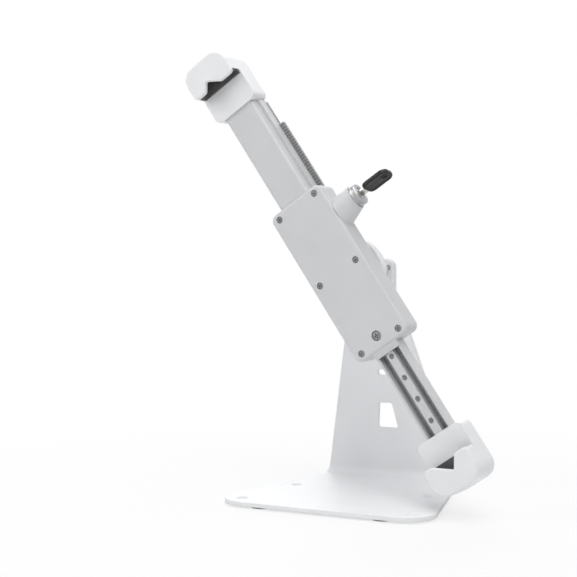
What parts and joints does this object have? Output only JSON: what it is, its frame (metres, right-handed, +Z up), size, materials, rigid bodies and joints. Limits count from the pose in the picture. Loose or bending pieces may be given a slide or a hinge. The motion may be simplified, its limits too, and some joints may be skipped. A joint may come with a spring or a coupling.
{
  "type": "lockable tablet stand",
  "caption": "Bent sheet stand with a tilting, swivelling clamp: two padded corner brackets on a sliding ratchet arm and a fixed rail, locked by a key.",
  "frame": {"origin": "under the middle of the base's hole pattern, on the surface that the foot pads stand on", "axes": "+X to the right as seen from the front of the clamp, +Y to the rear, +Z up"},
  "size_m": [0.2451, 0.155, 0.3527],
  "materials": {
    "white_steel": "fine white powder coat",
    "white_aluminium": "white coated extrusion",
    "white_plastic": "moulded white, slight grain",
    "steel": "zinc plated",
    "lock_chrome": "polished",
    "rack_black": "black oxide",
    "lining_rubber": "matt",
    "disc_nylon": "smooth",
    "key_black": "moulded"
  },
  "bodies": {
    "stand": {"stand_sheet": "white_steel", "foot_pads": "lining_rubber", "yoke_screws": "steel", "tilt_yoke": "white_steel", "tilt_bolt": "steel", "tilt_nut": "steel", "tilt_washers": "steel"},
    "tilt_head": {"tilt_knuckle": "white_aluminium", "knuckle_screws": "steel", "swivel_hub": "white_aluminium", "swivel_bolt": "steel", "swivel_nut": "steel", "swivel_spring_washer": "steel"},
    "clamp": {"back_cover": "white_plastic", "front_cover": "white_plastic", "cover_screws": "steel", "rail_lock_screw": "steel", "lower_rail": "white_aluminium", "lower_bracket": "white_plastic", "lower_bracket_pad": "lining_rubber", "lower_bracket_screws": "steel", "swivel_disc": "disc_nylon", "lock_barrel": "lock_chrome", "lock_clip": "steel"},
    "upper_arm": {"upper_arm": "white_aluminium", "ratchet_rack": "rack_black", "rack_screws": "steel", "upper_bracket": "white_plastic", "upper_bracket_pad": "lining_rubber", "upper_bracket_screws": "steel"},
    "lock_plug": {"lock_plug": "lock_chrome", "lock_cam": "steel", "cam_screw": "steel"},
    "pawl": {"locking_pawl": "steel"},
    "key": {"key_blade": "steel", "key_bow": "key_black"}
  },
  "joints": [
    {"name": "tilt", "type": "hinge", "parent": "stand", "child": "tilt_head", "pos_m": [0, 0.0445, 0.17835], "axis": [-1, 0, 0], "range_deg": [-5, 40]},
    {"name": "swivel", "type": "hinge", "parent": "tilt_head", "child": "clamp", "pos_m": [0, 0, 0.17835], "axis": [0, -1, 0], "range_deg": [0, 90]},
    {"name": "arm_slide", "type": "slide", "parent": "clamp", "child": "upper_arm", "axis": [0.565, 0, -0.8251], "range_m": [-0.015, 0.075]},
    {"name": "lock_turn", "type": "hinge", "parent": "clamp", "child": "lock_plug", "pos_m": [0.00057, 0.00265, 0.23061], "axis": [0.8251, 0, 0.565], "range_deg": [0, 90]},
    {"name": "pawl_slide", "type": "slide", "parent": "clamp", "child": "pawl", "axis": [0, 1, 0], "range_m": [0, 0.0016]},
    {"name": "key_slide", "type": "slide", "parent": "lock_plug", "child": "key", "axis": [0.8251, 0, 0.565], "range_m": [0, 0.03]}
  ],
  "couplings": [
    {"joint": "lock_turn", "follows": "pawl_slide", "rad_per_m": 981.75}
  ]
}
